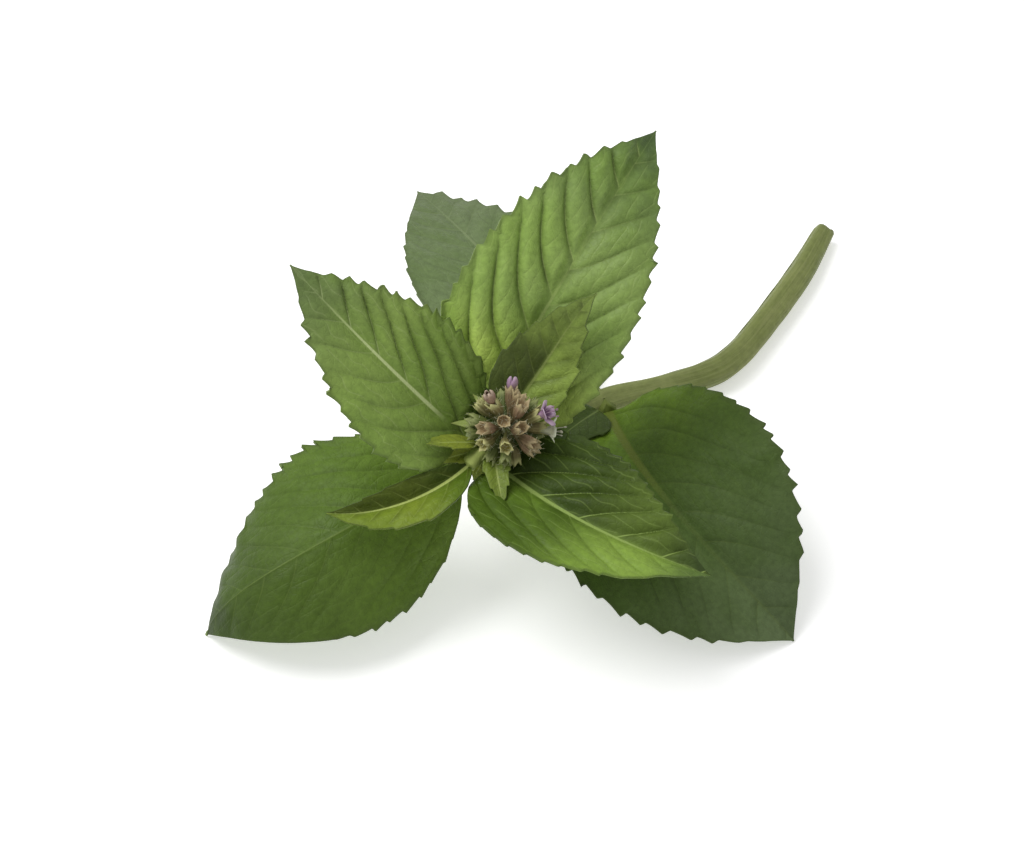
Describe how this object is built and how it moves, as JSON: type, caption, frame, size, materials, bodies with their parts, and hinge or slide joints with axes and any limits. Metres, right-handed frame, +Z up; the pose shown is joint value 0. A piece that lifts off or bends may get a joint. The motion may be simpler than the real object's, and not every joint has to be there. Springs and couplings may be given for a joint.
{
  "type": "mint sprig",
  "caption": "Cut mint sprig lying on its side: a squarish stem, crossed pairs of toothed leaves and a young lilac flower head.",
  "frame": {"origin": "on the surface the sprig lies on, under the middle of its bounding box", "axes": "+Z up from the surface, the shortest extent; +Y away from the viewer who sees the flower head in front of the stem; +X to that viewer's right, towards the cut end"},
  "size_m": [0.1208, 0.1234, 0.063],
  "materials": {
    "stem": "olive green stem skin, satin, fine lengthwise ribs, purplish at the nodes",
    "leaf_young": "young yellow-green leaf, satin, quilted between light veins",
    "leaf_upper": "bright green leaf, satin, quilted between light veins",
    "leaf_middle": "mid green leaf, satin, quilted between light veins",
    "leaf_lower": "dark green leaf, matt, paler grey-green below",
    "calyx": "tan to purple-brown ribbed calyx, matt, downy",
    "floret": "pale lilac petal, soft sheen",
    "bract": "yellow-green bract, satin"
  },
  "bodies": {
    "root": {"bract_1": "bract", "bract_2": "bract", "bract_3": "bract", "bract_4": "bract", "calyx_1_1": "calyx", "calyx_1_2": "calyx", "calyx_1_3": "calyx", "calyx_2_1": "calyx", "calyx_2_2": "calyx", "calyx_2_3": "calyx", "calyx_2_4": "calyx", "calyx_2_5": "calyx", "calyx_2_6": "calyx", "calyx_3_1": "calyx", "calyx_3_2": "calyx", "calyx_3_3": "calyx", "calyx_3_4": "calyx", "calyx_3_5": "calyx", "calyx_3_6": "calyx", "calyx_3_7": "calyx", "calyx_3_8": "calyx", "calyx_4_1": "calyx", "calyx_4_2": "calyx", "calyx_4_3": "calyx", "calyx_4_4": "calyx", "calyx_4_5": "calyx", "calyx_4_6": "calyx", "calyx_4_7": "calyx", "floret_1": "floret", "floret_2": "floret", "floret_3": "floret", "floret_4": "floret", "leaf_lower_back": "leaf_lower", "leaf_lower_front": "leaf_lower", "leaf_middle_back": "leaf_middle", "leaf_middle_front": "leaf_middle", "leaf_top_lower": "leaf_young", "leaf_top_upper": "leaf_young", "leaf_upper_left": "leaf_upper", "leaf_upper_right": "leaf_upper", "stem": "stem"}
  },
  "joints": []
}
